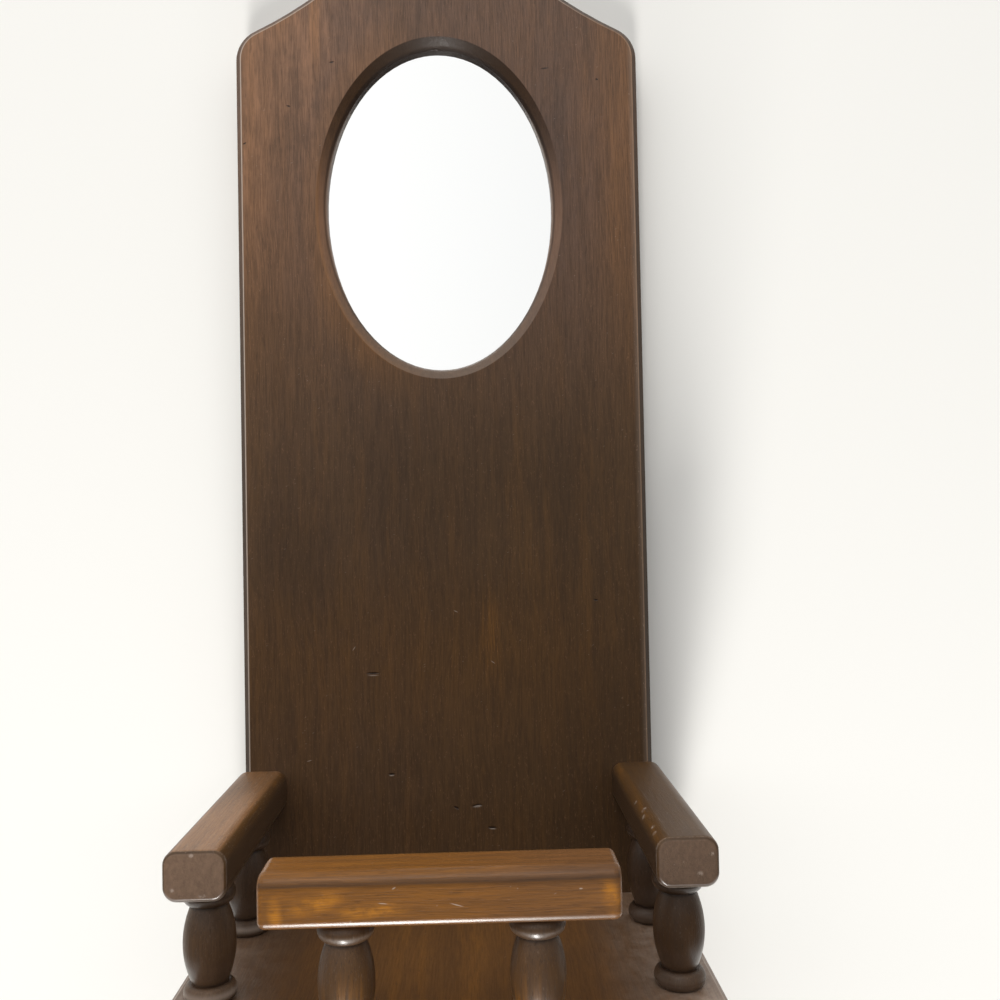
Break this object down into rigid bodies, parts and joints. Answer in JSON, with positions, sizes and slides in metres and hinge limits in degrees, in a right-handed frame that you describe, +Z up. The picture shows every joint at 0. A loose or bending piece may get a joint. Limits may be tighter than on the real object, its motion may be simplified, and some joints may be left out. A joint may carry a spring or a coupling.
{
  "type": "wall mirror with shelf",
  "caption": "Tall shaped wooden backboard with an oval mirror let into its upper half and, at its foot, a small shelf fenced by rails on turned spindles; hangs from a keyhole.",
  "frame": {"origin": "centre of the hanging keyhole's entry hole, on the plane of the backboard's rear face (the wall)", "axes": "+X to the right seen from the front, +Y into the wall, +Z up"},
  "size_m": [0.158, 0.1285, 0.4159],
  "materials": {
    "board_wood": "satin lacquer, walnut stain",
    "shelf_wood": "satin lacquer, walnut stain",
    "arm_wood": "satin lacquer, walnut stain",
    "rail_wood": "satin lacquer, walnut stain",
    "spindle_wood": "satin lacquer, walnut stain",
    "mirror": "silvered glass",
    "hardboard": "raw hardboard",
    "button_steel": "zinc plated",
    "screw_steel": "zinc plated"
  },
  "bodies": {
    "frame": {"backboard": "board_wood", "shelf": "shelf_wood", "arm_rail_left": "arm_wood", "arm_rail_right": "arm_wood", "front_rail": "rail_wood", "spindle_left_front": "spindle_wood", "spindle_left_back": "spindle_wood", "spindle_right_front": "spindle_wood", "spindle_right_back": "spindle_wood", "spindle_front_left": "spindle_wood", "spindle_front_right": "spindle_wood", "mirror_glass": "mirror", "mirror_back": "hardboard", "turn_button_screws": "screw_steel", "shelf_screws": "screw_steel", "arm_screws": "screw_steel"},
    "upper_left_button": {"turn_button_upper_left": "button_steel"},
    "upper_right_button": {"turn_button_upper_right": "button_steel"},
    "lower_left_button": {"turn_button_lower_left": "button_steel"},
    "lower_right_button": {"turn_button_lower_right": "button_steel"}
  },
  "joints": [
    {"name": "upper_left_button_turn", "type": "hinge", "parent": "frame", "child": "upper_left_button", "pos_m": [-0.03939, -0.0036, -0.02525], "axis": [0, 1, 0], "continuous": true},
    {"name": "upper_right_button_turn", "type": "hinge", "parent": "frame", "child": "upper_right_button", "pos_m": [0.03939, -0.0036, -0.02525], "axis": [0, 1, 0], "continuous": true},
    {"name": "lower_left_button_turn", "type": "hinge", "parent": "frame", "child": "lower_left_button", "pos_m": [-0.03939, -0.0036, -0.12625], "axis": [0, 1, 0], "continuous": true},
    {"name": "lower_right_button_turn", "type": "hinge", "parent": "frame", "child": "lower_right_button", "pos_m": [0.03939, -0.0036, -0.12625], "axis": [0, 1, 0], "continuous": true}
  ]
}
